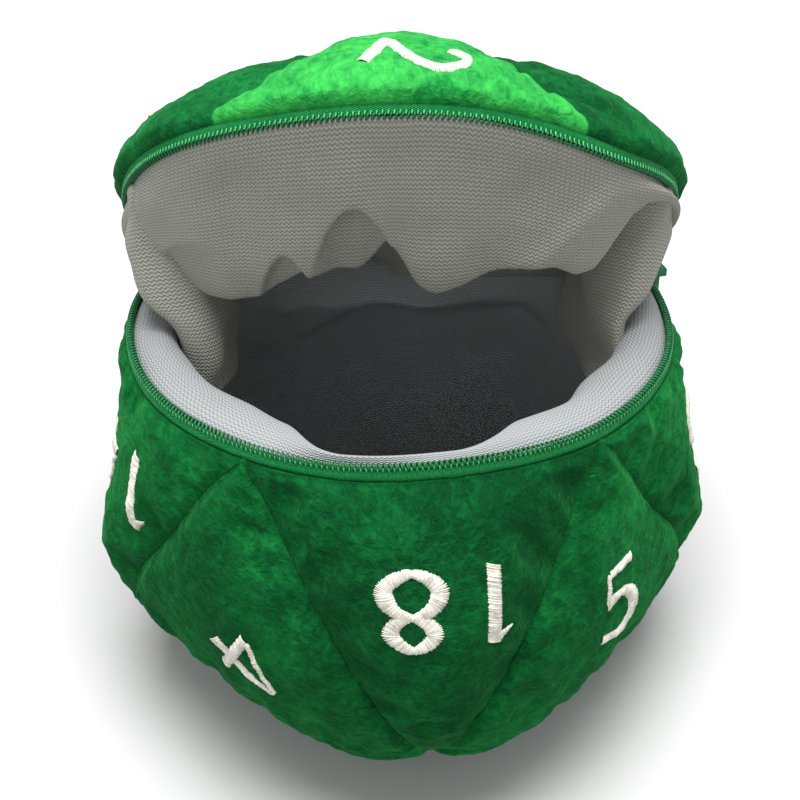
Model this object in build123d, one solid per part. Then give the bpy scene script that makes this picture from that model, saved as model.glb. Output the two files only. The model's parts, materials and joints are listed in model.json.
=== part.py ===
from build123d import *
import math
import os

# A plush bag in the shape of a twenty-sided die, millimetres, +Z up, front towards -Y.
# It stands on its bottom, which its weight has pressed flat, with the lid swung back.

# Driving dimensions of the mouth. The mating plane is where the two zipper halves meet.
MOUTH_RADIUS = 73.5        # round part of the mouth, outside of the plush
MOUTH_SETBACK = 35.0       # centre of the round part, forward of the hinge line
HINGE_Y = 51.5             # hinge line, behind the middle of the bag
HINGE_Z = 84.2             # hinge line, above the surface it stands on
MOUTH_TILT = 13.5          # degrees, front of the mouth above its back
LID_OPEN = 42.3            # degrees, lid swung back from the mouth
ZIPPER_BAND = 4.0          # plush edge to the mating plane, on each half

# Corners of the twenty triangles.
BODY_TURN = 5.5            # degrees, panels of the body turned against the mouth
LOWER_RING_RADIUS = 83.0   # five lower corners
LOWER_RING_Z = 30.4
BOTTOM_CORNER = (4.0, 8.0, -22.0)  # where the lowest corner would be if nothing pressed it flat
LID_HEIGHT = 42.0          # lid edge to the top corner
SIDE_CORNER_ANGLE = 106.0  # degrees round the mouth, the two side corners

# Shape of a filled panel.
SEAM_BOW = 3.0             # a seam of the body bows outwards at its middle
LOWER_SEAM_SHARE = 0.7     # the seams between the lower corners bow by this share of it
FRONT_BELLY = 14.0         # the contents push the foremost seams out by this much more
LID_BOW = 7.0              # a seam of the lid bows outwards, most of all near the rim
LID_BOW_SKEW = 0.6         # below 1 moves that bow towards the rim
PANEL_CROWN = 4.5          # a panel stands proud at its middle
PANEL_STEPS = 4            # rows of facets in one panel

# Layers of the wall, as shares of the distance from the middle of the mouth.
PLUSH_IN = 0.955
PADDING_OUT = 0.9535
PADDING_IN = 0.900
LINER_OUT = 0.8985
LINER_IN = 0.884
SEAM_GAP = 0.12            # between two neighbouring panels, half on each side

# Loose lining that has dropped out of the lid.
LID_LINER_SHARE = 0.87     # its edge, as a share of the rim
LID_LINER_DROP = 25.0
LID_LINER_THICKNESS = 1.0

# Zipper.
ZIPPER_RADIUS = 71.5       # centre of the coil, about the middle of the round part
ZIPPER_END_ANGLE = 112.0   # degrees round the mouth, both ends of the coil
COIL_RADIUS = 1.0
COIL_OFFSET = 1.6          # coil centre to the mating plane
TAPE_THICKNESS = 0.8
STOP_LENGTH_ANGLE = 2.5    # degrees of the mouth that a stop takes up
SLIDER_ANGLE = 108.0       # degrees round the mouth, where the slider is parked
SLIDER_LENGTH = 9.0
SLIDER_HALF_WIDTH = 3.6
PLATE_THICKNESS = 1.2
PLATE_CLEARANCE = 0.35
PLATE_WEB = 0.7
ARCH_HOLE = 2.2            # along the slider, room for the bar of the pull
ARCH_POST = 1.2
ARCH_HALF_WIDTH = 1.1
PULL_LENGTH = 15.0
PULL_WIDTH = 5.6
PULL_THICKNESS = 1.2
PULL_CLEARANCE = 0.35

# Strip that joins both zipper ends behind the mouth.
HINGE_STRIP_RADIUS = 2.6
HINGE_STRIP_HALF_LENGTH = 57.0


def mouth_frame(tilt):
    """The mating plane of one half: its forward direction and its normal."""
    angle = math.radians(tilt)
    forward = Vector(0, -math.cos(angle), math.sin(angle))
    normal = Vector(0, math.sin(angle), math.cos(angle))
    return forward, normal


HINGE = Vector(0, HINGE_Y, HINGE_Z)
BODY_FORWARD, BODY_NORMAL = mouth_frame(MOUTH_TILT)
LID_FORWARD, LID_NORMAL = mouth_frame(MOUTH_TILT + LID_OPEN)
BODY_RIM = (BODY_FORWARD, BODY_NORMAL, -ZIPPER_BAND)
LID_RIM = (LID_FORWARD, LID_NORMAL, ZIPPER_BAND)

# The mouth's outline is an arc of a circle, closed at the back by the hinge line.
CORNER_ANGLE = math.acos(-MOUTH_SETBACK / MOUTH_RADIUS)
ARC_LENGTH = MOUTH_RADIUS * CORNER_ANGLE
HALF_CHORD = MOUTH_RADIUS * math.sin(CORNER_ANGLE)
HALF_OUTLINE = ARC_LENGTH + HALF_CHORD


def rim_point(rim, distance):
    """Point of a rim outline, by its distance from the front middle, positive to the right."""
    forward, normal, height = rim
    side = math.copysign(1, distance)
    length = abs(distance)
    if length <= ARC_LENGTH:
        angle = length / MOUTH_RADIUS
        x = MOUTH_RADIUS * math.sin(angle)
        ahead = MOUTH_SETBACK + MOUTH_RADIUS * math.cos(angle)
    else:
        x = HALF_CHORD - (length - ARC_LENGTH)
        ahead = 0
    return HINGE + Vector(side * x, 0, 0) + forward * ahead + normal * height


def rim_centre(rim):
    forward, normal, height = rim
    return HINGE + forward * MOUTH_SETBACK + normal * height


def rim_distances(turn):
    """Distances round the rim of its five corners, from the back middle round to itself."""
    side = math.radians(SIDE_CORNER_ANGLE) * MOUTH_RADIUS
    front = math.radians(36) * MOUTH_RADIUS
    shift = math.radians(turn) * MOUTH_RADIUS
    return [-HALF_OUTLINE, -side, shift - front, shift + front, side, HALF_OUTLINE]


def lower_ring():
    """Five lower corners, from the front one anticlockwise seen from above."""
    corners = []
    for step in range(5):
        angle = math.radians(BODY_TURN + 72 * step)
        x = LOWER_RING_RADIUS * math.sin(angle)
        y = -LOWER_RING_RADIUS * math.cos(angle)
        corners.append(Vector(x, y, LOWER_RING_Z))
    return corners


def body_bow(point, a, b, c, free_edge):
    """How far the filling pushes out a point of the body; a free edge isn't held by the rim."""
    spread = b * c + c * a + (LOWER_SEAM_SHARE * a * b if free_edge else 0)
    frontness = max(0, -point.Y / LOWER_RING_RADIUS)
    return 4 * spread * (SEAM_BOW + FRONT_BELLY * frontness**2)


def lid_bow(point, a, b, c, free_edge):
    """How far the filling pushes out a point of the lid, whose top corner has the weight c."""
    return 3 * LID_BOW * c ** LID_BOW_SKEW * (1 - c)


def facet_grid(corners, rim_edge, bow_centre, bow_rule):
    """Rows of points over one filled triangle. A rim edge joins the first two corners."""
    first, second, third = corners
    rows = []
    for row in range(PANEL_STEPS + 1):
        c = row / PANEL_STEPS
        count = PANEL_STEPS - row
        points = []
        for column in range(count + 1):
            along = column / count if count else 0.5
            a = (1 - c) * (1 - along)
            b = (1 - c) * along
            point = first * a + second * b + third * c
            if rim_edge:
                rim, start, end = rim_edge
                on_rim = rim_point(rim, start + (end - start) * along)
                straight = first * (1 - along) + second * along
                point = point + (on_rim - straight) * (1 - c)
            bow = bow_rule(point, a, b, c, not rim_edge)
            outward = (point - bow_centre).normalized()
            point = point + outward * (bow + 27 * PANEL_CROWN * a * b * c)
            points.append(Vector(point.X, point.Y, max(point.Z, 0)))
        rows.append(points)
    return rows


def grid_triangles(rows):
    """Triangles between the rows of a grid, each as three (row, column) pairs."""
    triangles = []
    for row in range(len(rows) - 1):
        for column in range(len(rows[row]) - 1):
            triangles.append([(row, column), (row, column + 1), (row + 1, column)])
            if column + 1 < len(rows[row + 1]):
                triangles.append([(row, column + 1), (row + 1, column + 1), (row + 1, column)])
    return triangles


def face(points):
    return Face(Wire.make_polygon(points, close=True))


def closed_solid(faces):
    solid = Solid(Shell(faces))
    return solid if solid.volume > 0 else -solid


def scaled(point, centre, share):
    return centre + (point - centre) * share


def layer(grids, centre, outer_share, inner_share):
    """One closed layer of the wall over some panels, between two shares of their distance."""
    faces = []
    edges = {}
    for rows in grids:
        for triangle in grid_triangles(rows):
            points = [rows[row][column] for row, column in triangle]
            faces.append(face([scaled(p, centre, outer_share) for p in points]))
            faces.append(face([scaled(p, centre, inner_share) for p in points]))
            for start, end in zip(points, points[1:] + points[:1]):
                ends = sorted([tuple(round(v, 3) for v in start), tuple(round(v, 3) for v in end)])
                key = tuple(ends)
                edges.setdefault(key, []).append((start, end))
    for uses in edges.values():
        if len(uses) == 1:
            start, end = uses[0]
            corners = [scaled(start, centre, outer_share), scaled(end, centre, outer_share),
                       scaled(end, centre, inner_share), scaled(start, centre, inner_share)]
            faces.append(face(corners))
    return closed_solid(faces)


def panel(rows, centre):
    """One plush panel, drawn in from its seams by half the gap."""
    points = [point for row in rows for point in row]
    middle = sum(points, Vector(0, 0, 0)) * (1 / len(points))
    reach = min((point - middle).length for point in (rows[0][0], rows[0][-1], rows[-1][0]))
    share = 1 - SEAM_GAP / reach
    drawn_in = [[middle + (point - middle) * share for point in row] for row in rows]
    return layer([drawn_in], centre, 1, PLUSH_IN)


def body_grids():
    """Facet grids of the fifteen panels below the mouth, by their number."""
    distances = rim_distances(BODY_TURN)
    upper = [rim_point(BODY_RIM, distance) for distance in distances]
    front, right, back_right, back_left, left = lower_ring()
    bottom = Vector(*BOTTOM_CORNER)
    bow_centre = Vector(0, 0, LOWER_RING_Z + 15)

    # Panels that hang from the rim, each from one rim corner to the next.
    hanging = {16: (0, back_left), 14: (1, left), 18: (2, front), 15: (3, right), 17: (4, back_right)}
    grids = {}
    for number, (start, lowest) in hanging.items():
        edge = (BODY_RIM, distances[start], distances[start + 1])
        corners = (upper[start], upper[start + 1], lowest)
        grids[number] = facet_grid(corners, edge, bow_centre, body_bow)

    # Panels that stand on the lower ring, and those that close the bottom.
    standing = {4: (left, front, upper[2]), 5: (front, right, upper[3]),
                7: (right, back_right, upper[4]), 3: (back_right, back_left, upper[0]),
                6: (back_left, left, upper[1])}
    closing = {11: (left, front, bottom), 13: (front, right, bottom), 1: (right, back_right, bottom),
               19: (back_right, back_left, bottom), 9: (back_left, left, bottom)}
    for number, corners in (standing | closing).items():
        grids[number] = facet_grid(corners, None, bow_centre, body_bow)
    return grids


def lid_grids():
    """Facet grids of the five panels of the lid, by their number."""
    distances = rim_distances(0)
    upper = [rim_point(LID_RIM, distance) for distance in distances]
    middle = rim_centre(LID_RIM)
    top = middle + LID_NORMAL * LID_HEIGHT
    bow_centre = middle - LID_NORMAL * 30
    grids = {}
    for start, number in enumerate((8, 20, 2, 12, 10)):
        edge = (LID_RIM, distances[start], distances[start + 1])
        grids[number] = facet_grid((upper[start], upper[start + 1], top), edge, bow_centre, lid_bow)
    return grids


def lid_liner():
    """Lining of the lid, dropped out of it as a shallow pouch below its rim."""
    middle = rim_centre(LID_RIM)
    rings = 5
    around = 40
    sheets = []
    for thickness in (0, LID_LINER_THICKNESS):
        rows = []
        for ring in range(1, rings + 1):
            share = ring / rings * LID_LINER_SHARE
            drop = LID_LINER_DROP * (1 - (ring / rings) ** 2) + thickness
            row = []
            for step in range(around):
                distance = -HALF_OUTLINE + 2 * HALF_OUTLINE * step / around
                point = scaled(rim_point(LID_RIM, distance), middle, share)
                row.append(point - LID_NORMAL * drop)
            rows.append(row)
        sheets.append((middle - LID_NORMAL * (LID_LINER_DROP + thickness), rows))
    faces = []
    for middle, rows in sheets:
        for step in range(around):
            following = (step + 1) % around
            faces.append(face([middle, rows[0][step], rows[0][following]]))
            for inner, outer in zip(rows, rows[1:]):
                faces.append(face([inner[step], outer[step], outer[following]]))
                faces.append(face([inner[step], outer[following], inner[following]]))
    outer_edge = sheets[0][1][-1]
    inner_edge = sheets[1][1][-1]
    for step in range(around):
        following = (step + 1) % around
        faces.append(face([outer_edge[step], outer_edge[following], inner_edge[following], inner_edge[step]]))
    return closed_solid(faces)


def mouth_plane(rim):
    """Plane through the middle of the round part, its x axis forward and its z axis normal."""
    forward, normal, _ = rim
    return Plane(origin=HINGE + forward * MOUTH_SETBACK, x_dir=forward, z_dir=normal)


def ring_part(rim, radius_in, radius_out, low, high, start_angle, end_angle):
    """Part of a flat ring round the mouth; angles in degrees, positive to the right."""
    plane = mouth_plane(rim)
    profile = Plane(origin=plane.origin, x_dir=plane.x_dir, z_dir=plane.x_dir.cross(plane.z_dir))
    middle_radius = (radius_in + radius_out) / 2
    middle_height = (low + high) / 2
    section = Rectangle(radius_out - radius_in, high - low)
    section = profile * Pos(middle_radius, middle_height) * section
    return turned_section(section, plane, start_angle, end_angle)


def turned_section(section, plane, start_angle, end_angle):
    """A section at the front, swept round the mouth from one angle to another."""
    axis = Axis(plane.origin, plane.z_dir)
    solid = revolve(section, axis, end_angle - start_angle)
    return solid.rotate(axis, start_angle)


def zipper_coil(rim, side):
    plane = mouth_plane(rim)
    profile = Plane(origin=plane.origin, x_dir=plane.x_dir, z_dir=plane.x_dir.cross(plane.z_dir))
    section = profile * Pos(ZIPPER_RADIUS, side * COIL_OFFSET) * Circle(COIL_RADIUS)
    return turned_section(section, plane, -ZIPPER_END_ANGLE, ZIPPER_END_ANGLE)


def zipper_tape(rim, side):
    near = side * (COIL_OFFSET + COIL_RADIUS)
    far = side * ZIPPER_BAND
    low, high = min(near, far), max(near, far)
    half = TAPE_THICKNESS / 2
    return ring_part(rim, ZIPPER_RADIUS - half, ZIPPER_RADIUS + half, low, high,
                     -ZIPPER_END_ANGLE, ZIPPER_END_ANGLE)


def zipper_stop(rim, side, start_angle):
    """A moulded stop at one end of a coil."""
    low, high = sorted((side * 0.4, side * (ZIPPER_BAND - 0.3)))
    return ring_part(rim, ZIPPER_RADIUS - 1.5, ZIPPER_RADIUS + 1.5, low, high,
                     start_angle, start_angle + STOP_LENGTH_ANGLE)


def slider_radii():
    """Inner and outer faces of the slider's channel, and the radius of the pull's bar."""
    inner_face = ZIPPER_RADIUS - COIL_RADIUS - PLATE_CLEARANCE
    outer_face = ZIPPER_RADIUS + COIL_RADIUS + PLATE_CLEARANCE
    bar = outer_face + PLATE_THICKNESS + PULL_CLEARANCE + PULL_THICKNESS / 2
    return inner_face, outer_face, bar


def mouth_degrees(length):
    return math.degrees(length / ZIPPER_RADIUS)


def zipper_slider():
    """Two curved plates either side of the coils, a web between them and an arch for the pull."""
    inner_face, outer_face, bar = slider_radii()
    half = mouth_degrees(SLIDER_LENGTH / 2)
    start, end = SLIDER_ANGLE - half, SLIDER_ANGLE + half
    width = SLIDER_HALF_WIDTH
    web = PLATE_WEB / 2
    back = outer_face + PLATE_THICKNESS
    arch_in = bar + PULL_THICKNESS / 2 + PULL_CLEARANCE
    arch_out = arch_in + ARCH_POST
    hole = mouth_degrees(ARCH_HOLE / 2)
    post = mouth_degrees(ARCH_HOLE / 2 + ARCH_POST)
    arch = ARCH_HALF_WIDTH
    inner = ring_part(BODY_RIM, inner_face - PLATE_THICKNESS, inner_face, -width, width, start, end)
    outer = ring_part(BODY_RIM, outer_face, back, -width, width, start, end)
    nose = ring_part(BODY_RIM, inner_face - 0.1, outer_face + 0.1, -web, web, SLIDER_ANGLE, end)
    slider = inner + outer + nose
    for low, high in ((-post, -hole), (hole, post)):
        slider += ring_part(BODY_RIM, back - 0.1, arch_out, -arch, arch, SLIDER_ANGLE + low, SLIDER_ANGLE + high)
    slider += ring_part(BODY_RIM, arch_in, arch_out, -arch, arch, SLIDER_ANGLE - post, SLIDER_ANGLE + post)
    return slider.solid()


def pull_frame():
    """Where the pull turns, on the slider's outer side, and its outward and backward directions."""
    plane = mouth_plane(BODY_RIM)
    bar = slider_radii()[2]
    angle = math.radians(SLIDER_ANGLE)
    right = Vector(1, 0, 0)
    outward = plane.x_dir * math.cos(angle) + right * math.sin(angle)
    backward = right * math.cos(angle) - plane.x_dir * math.sin(angle)
    return plane.origin + outward * bar, outward, backward


def zipper_pull():
    """Flat tab lying back along the zipper, forked round the slider's arch, with a round bar through it."""
    pivot, outward, backward = pull_frame()
    plane = Plane(origin=pivot, x_dir=backward, z_dir=outward)
    fork_depth = ARCH_HOLE / 2 + ARCH_POST + 1.4
    fork_width = 2 * ARCH_HALF_WIDTH + 1.0
    tab = Pos(PULL_LENGTH / 2, 0) * RectangleRounded(PULL_LENGTH, PULL_WIDTH, 1.2)
    fork = Rectangle(2 * fork_depth, fork_width)
    finger_hole = Pos(PULL_LENGTH - 4, 0) * Circle(1.4)
    flat = plane * (tab - fork - finger_hole)
    bar_plane = Plane(origin=pivot, z_dir=backward.cross(outward))
    bar = extrude(bar_plane * Circle(PULL_THICKNESS / 2), amount=PULL_WIDTH / 2 - 0.3, both=True)
    return (extrude(flat, amount=PULL_THICKNESS / 2, both=True) + bar).solid()


def hinge_strip():
    """Rolled strip of tape along the hinge line, closing the wall between the zipper ends."""
    middle = Plane(origin=HINGE, x_dir=(0, 1, 0), z_dir=(1, 0, 0))
    roll = middle * Circle(HINGE_STRIP_RADIUS)
    return extrude(roll, amount=HINGE_STRIP_HALF_LENGTH, both=True).solid()


def build():
    nodes = {}
    body = body_grids()
    lid = lid_grids()
    body_middle = rim_centre(BODY_RIM)
    lid_middle = rim_centre(LID_RIM)
    for number, rows in body.items():
        nodes[f"panel_{number:02d}"] = panel(rows, body_middle)
    for number, rows in lid.items():
        nodes[f"lid_panel_{number:02d}"] = panel(rows, lid_middle)
    nodes["body_padding"] = layer(body.values(), body_middle, PADDING_OUT, PADDING_IN)
    nodes["lid_padding"] = layer(lid.values(), lid_middle, PADDING_OUT, PADDING_IN)
    nodes["body_liner"] = layer(body.values(), body_middle, LINER_OUT, LINER_IN)
    nodes["lid_liner"] = lid_liner()
    for name, rim, side in (("body", BODY_RIM, -1), ("lid", LID_RIM, 1)):
        nodes[f"zipper_tape_{name}"] = zipper_tape(rim, side)
        nodes[f"zipper_coil_{name}"] = zipper_coil(rim, side)
        nodes[f"zipper_top_stop_{name}"] = zipper_stop(rim, side, -ZIPPER_END_ANGLE - STOP_LENGTH_ANGLE - 0.2)
    nodes["zipper_bottom_stop"] = zipper_stop(BODY_RIM, -1, ZIPPER_END_ANGLE + 0.2)
    nodes["zipper_slider"] = zipper_slider()
    nodes["zipper_pull"] = zipper_pull()
    nodes["hinge_strip"] = hinge_strip()
    return nodes


os.makedirs("parts", exist_ok=True)
for name, solid in build().items():
    export_step(solid, f"parts/{name}.step")
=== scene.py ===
import json
import math

import bmesh
import bpy
import numpy as np
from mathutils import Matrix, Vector, noise
from mathutils.bvhtree import BVHTree


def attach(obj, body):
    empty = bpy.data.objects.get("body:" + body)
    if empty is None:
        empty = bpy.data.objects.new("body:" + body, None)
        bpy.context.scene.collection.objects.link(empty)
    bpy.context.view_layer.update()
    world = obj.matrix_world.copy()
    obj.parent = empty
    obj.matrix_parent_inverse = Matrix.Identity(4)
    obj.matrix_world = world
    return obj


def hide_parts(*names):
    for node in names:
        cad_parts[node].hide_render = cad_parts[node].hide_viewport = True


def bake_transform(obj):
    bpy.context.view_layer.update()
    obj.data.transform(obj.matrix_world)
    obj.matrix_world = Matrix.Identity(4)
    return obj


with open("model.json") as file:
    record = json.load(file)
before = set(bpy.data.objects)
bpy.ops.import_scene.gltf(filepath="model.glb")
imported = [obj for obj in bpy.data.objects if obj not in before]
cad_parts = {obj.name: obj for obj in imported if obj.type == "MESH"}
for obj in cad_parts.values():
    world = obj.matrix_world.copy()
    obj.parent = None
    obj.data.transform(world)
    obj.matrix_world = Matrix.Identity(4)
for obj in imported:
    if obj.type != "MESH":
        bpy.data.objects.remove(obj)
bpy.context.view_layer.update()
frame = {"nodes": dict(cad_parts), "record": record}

# Plush dice bag in the shape of a twenty-sided die, in metres, in the CAD's frame.

MM = 0.001

# ---------------------------------------------------------------- the frame's own values

JOINTS = {joint["name"]: joint for joint in frame["record"]["behaviour"]["joints"]}
HINGE = np.array(JOINTS["lid_hinge"]["pos_m"])
MOUTH_CENTRE = np.array(JOINTS["slider_travel"]["pos_m"])
MOUTH_NORMAL = np.array(JOINTS["slider_travel"]["axis"])
MOUTH_NORMAL = MOUTH_NORMAL / np.linalg.norm(MOUTH_NORMAL)
LID_OPEN = math.radians(-JOINTS["lid_hinge"]["range_deg"][0])
MOUTH_SETBACK = float(np.linalg.norm(MOUTH_CENTRE - HINGE))
RIGHT = np.array([1.0, 0.0, 0.0])

# ---------------------------------------------------------------- driving dimensions

MOUTH_RADIUS = 73.5 * MM
ZIPPER_BAND = 4.0 * MM
BODY_TURN = 5.5
LOWER_RING_RADIUS = 83.0 * MM
LOWER_RING_Z = 30.4 * MM
BOTTOM_CORNER = np.array([4.0, 8.0, -22.0]) * MM
LID_HEIGHT = 41.0 * MM
SIDE_CORNER_ANGLE = 106.0
SEAM_BOW = 3.0 * MM
LOWER_SEAM_SHARE = 0.95
LOWER_SEAM_SKEW = 0.30
FRONT_BELLY = 14.0 * MM
LID_BOW = 7.0 * MM
LID_BOW_SKEW = 0.6
PANEL_CROWN = 4.5 * MM

ZIPPER_RADIUS = 71.5 * MM
ZIPPER_END = 112.0
COIL_OFFSET = 1.6 * MM
TOOTH_PITCH = 1.3 * MM
RIB_PITCH = 0.9 * MM

PANEL_STEPS = 96
SIM_STEPS = 24
CLOTH_FRAMES = 20
PUFF_LIMIT = 1.6 * MM
BACK_SHARE = 4
PLUSH_THICKNESS = 2.6 * MM
PANEL_SLACK = {"body": 2.4 * MM, "lid": 1.5 * MM}
PANEL_ALTITUDE = 80 * MM
RIM_RETREAT = 0.6 * MM
RIM_FOLD = 0.5 * MM
FLANK_HOLLOW = 4.0 * MM
CORNER_SOFTNESS = 3.5 * MM

# ---------------------------------------------------------------- the mouth's geometry


def smoothstep(low, high, value):
    share = np.clip((np.asarray(value, float) - low) / (high - low), 0, 1)
    return share * share * (3 - 2 * share)


def mouth_frame(opened):
    """Forward direction and normal of one half's mating plane, turned back by an angle."""
    forward = (MOUTH_CENTRE - HINGE) / MOUTH_SETBACK
    turned_forward = forward * math.cos(opened) + MOUTH_NORMAL * math.sin(opened)
    turned_normal = MOUTH_NORMAL * math.cos(opened) - forward * math.sin(opened)
    return turned_forward, turned_normal


BODY_FORWARD, BODY_NORMAL = mouth_frame(0)
LID_FORWARD, LID_NORMAL = mouth_frame(LID_OPEN)
# forward, normal, height of the plush edge, side of the mating plane, body that it rides on
BODY_RIM = (BODY_FORWARD, BODY_NORMAL, -ZIPPER_BAND, -1, "body")
LID_RIM = (LID_FORWARD, LID_NORMAL, ZIPPER_BAND, 1, "lid")

CORNER_ANGLE = math.acos(-MOUTH_SETBACK / MOUTH_RADIUS)
ARC_LENGTH = MOUTH_RADIUS * CORNER_ANGLE
HALF_CHORD = MOUTH_RADIUS * math.sin(CORNER_ANGLE)
HALF_OUTLINE = ARC_LENGTH + HALF_CHORD


def rim_points(rim, distance, height=None):
    """Points of a rim's outline, by their distance from the front middle, positive to the right."""
    forward, normal = rim[0], rim[1]
    height = rim[2] if height is None else height
    distance = np.asarray(distance, float)
    side = np.where(distance < 0, -1.0, 1.0)
    length = np.abs(distance)
    angle = np.minimum(length, ARC_LENGTH) / MOUTH_RADIUS
    on_arc = length <= ARC_LENGTH
    x = np.where(on_arc, MOUTH_RADIUS * np.sin(angle), HALF_CHORD - (length - ARC_LENGTH))
    ahead = np.where(on_arc, MOUTH_SETBACK + MOUTH_RADIUS * np.cos(angle), 0.0)
    return HINGE + np.multiply.outer(side * x, RIGHT) + np.multiply.outer(ahead, forward) + normal * height


def rim_centre(rim, height=None):
    """Middle of a rim's circle, at its plush edge unless a height is given."""
    return HINGE + rim[0] * MOUTH_SETBACK + rim[1] * (rim[2] if height is None else height)


def mouth_point(rim, angle, radius, height):
    """Points by angle round the mouth in radians, radius and height above the mating plane."""
    angle, radius, height = np.broadcast_arrays(angle, radius, height)
    centre = rim_centre(rim, 0)
    across = np.multiply.outer(radius * np.sin(angle), RIGHT)
    ahead = np.multiply.outer(radius * np.cos(angle), rim[0])
    return centre + across + ahead + np.multiply.outer(height, rim[1])


def settle(points, rim):
    """The soft rim isn't quite level: a slow wave along it that fades away from the edge."""
    local = points - rim_centre(rim, 0)
    x = local @ RIGHT
    ahead = local @ rim[0]
    height = local @ rim[1]
    angle = np.arctan2(x, ahead)
    reach = np.hypot(x, ahead) / MOUTH_RADIUS
    if rim[3] > 0:
        wave = 0.9 * np.sin(2 * angle + 2.4) + 0.5 * np.sin(5 * angle + 0.6)
        wave -= 1.8 * np.exp(-((angle - 0.75) / 0.30) ** 2)
    else:
        wave = 0.7 * np.sin(3 * angle + 0.9) + 0.35 * np.sin(7 * angle)
    fade = np.clip((ahead + MOUTH_SETBACK) / (25 * MM), 0, 1) * np.minimum(reach, 1.2) ** 2
    fade = fade * np.exp(-(height / (14 * MM)) ** 2)
    return points + np.multiply.outer(wave * MM * fade, rim[1])


# ---------------------------------------------------------------- the twenty panels


def rim_distances(turn):
    """Distances round the rim of its five corners, from the back middle round to itself."""
    side = math.radians(SIDE_CORNER_ANGLE) * MOUTH_RADIUS
    front = math.radians(36) * MOUTH_RADIUS
    shift = math.radians(turn) * MOUTH_RADIUS
    return [-HALF_OUTLINE, -side, shift - front, shift + front, side, HALF_OUTLINE]


def lower_ring():
    corners = []
    for step in range(5):
        angle = math.radians(BODY_TURN + 72 * step)
        x, y = LOWER_RING_RADIUS * math.sin(angle), -LOWER_RING_RADIUS * math.cos(angle)
        corners.append(np.array([x, y, LOWER_RING_Z]))
    return corners


def panel_layout():
    """Number to (rim, corners, rim edge or None, centre that the filling pushes from)."""
    layout = {}
    distances = rim_distances(BODY_TURN)
    upper = rim_points(BODY_RIM, distances)
    front, right, back_right, back_left, left = lower_ring()
    centre = np.array([0, 0, LOWER_RING_Z + 15 * MM])
    for number, start, lowest in ((16, 0, back_left), (14, 1, left), (18, 2, front),
                                  (15, 3, right), (17, 4, back_right)):
        edge = (distances[start], distances[start + 1])
        layout[number] = (BODY_RIM, (upper[start], upper[start + 1], lowest), edge, centre)
    standing = {4: (left, front, upper[2]), 5: (front, right, upper[3]),
                7: (right, back_right, upper[4]), 3: (back_right, back_left, upper[0]),
                6: (back_left, left, upper[1]),
                11: (left, front, BOTTOM_CORNER), 13: (front, right, BOTTOM_CORNER),
                1: (right, back_right, BOTTOM_CORNER), 19: (back_right, back_left, BOTTOM_CORNER),
                9: (back_left, left, BOTTOM_CORNER)}
    for number, corners in standing.items():
        layout[number] = (BODY_RIM, corners, None, centre)
    distances = rim_distances(0)
    upper = rim_points(LID_RIM, distances)
    middle = rim_centre(LID_RIM)
    top = middle + LID_NORMAL * LID_HEIGHT
    for start, number in enumerate((8, 20, 2, 12, 10)):
        edge = (distances[start], distances[start + 1])
        corners = (upper[start], upper[start + 1], top)
        layout[number] = (LID_RIM, corners, edge, middle - LID_NORMAL * 30 * MM)
    return layout


LAYOUT = panel_layout()
LID_PANELS = (2, 20, 8, 10, 12)


def grid_weights(steps):
    """Weights of the three corners at every point of a triangular grid, row by row."""
    rows = []
    for row in range(steps + 1):
        c = row / steps
        along = np.linspace(0, 1, steps - row + 1) if row < steps else np.array([0.5])
        rows.append(np.stack([(1 - c) * (1 - along), (1 - c) * along, np.full(len(along), c)], 1))
    return np.concatenate(rows)


def grid_faces(steps):
    starts = np.cumsum([0] + [steps - row + 1 for row in range(steps)])
    faces = []
    for row in range(steps):
        for column in range(steps - row):
            here, above = starts[row] + column, starts[row + 1] + column
            faces.append((here, here + 1, above))
            if column < steps - row - 1:
                faces.append((here + 1, above + 1, above))
    return faces


def panel_points(number, weights):
    """The filled surface of a panel at the given corner weights."""
    rim, (first, second, third), edge, centre = LAYOUT[number]
    a, b, c = weights.T
    points = np.outer(a, first) + np.outer(b, second) + np.outer(c, third)
    if edge:
        along = np.where(c < 1, b / np.maximum(1 - c, 1e-9), 0.5)
        on_rim = rim_points(rim, edge[0] + (edge[1] - edge[0]) * along)
        straight = np.outer(1 - along, first) + np.outer(along, second)
        points = points + (on_rim - straight) * (1 - c)[:, None]
    if number in LID_PANELS:
        bow = 3 * LID_BOW * c ** LID_BOW_SKEW * (1 - c)
    else:
        lower_share = LOWER_SEAM_SHARE + LOWER_SEAM_SKEW * points[:, 0] / LOWER_RING_RADIUS
        spread = b * c + c * a + (0 if edge else lower_share * a * b)
        frontness = np.maximum(0, -points[:, 1] / LOWER_RING_RADIUS)
        bow = 4 * spread * (SEAM_BOW + FRONT_BELLY * frontness ** 2)
    outward = points - centre
    outward /= np.linalg.norm(outward, axis=1)[:, None]
    points = points + outward * (bow + 27 * PANEL_CROWN * a * b * c)[:, None]
    return points, outward


def new_object(name, points, faces, material, body):
    """A smooth mesh in one material, riding on a body."""
    mesh = bpy.data.meshes.new(name)
    mesh.from_pydata([tuple(p) for p in points], [], [tuple(f) for f in faces])
    mesh.validate()
    for polygon in mesh.polygons:
        polygon.use_smooth = True
    mesh.materials.append(material)
    obj = bpy.data.objects.new(name, mesh)
    bpy.context.scene.collection.objects.link(obj)
    if body:
        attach(obj, body)
    return obj


def add_attribute(obj, name, values):
    attribute = obj.data.attributes.new(name, "FLOAT", "POINT")
    attribute.data.foreach_set("value", np.asarray(values, np.float32))


def soft_noise(points, scale, amount, seed=0.0):
    shift = Vector((seed, seed * 0.7, -seed))
    return np.array([noise.noise(Vector(p) * scale + shift) for p in points]) * amount


def outward_faces(obj):
    """Turns every face of a closed mesh outwards."""
    work = bmesh.new()
    work.from_mesh(obj.data)
    bmesh.ops.recalc_face_normals(work, faces=work.faces)
    work.to_mesh(obj.data)
    work.free()


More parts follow.
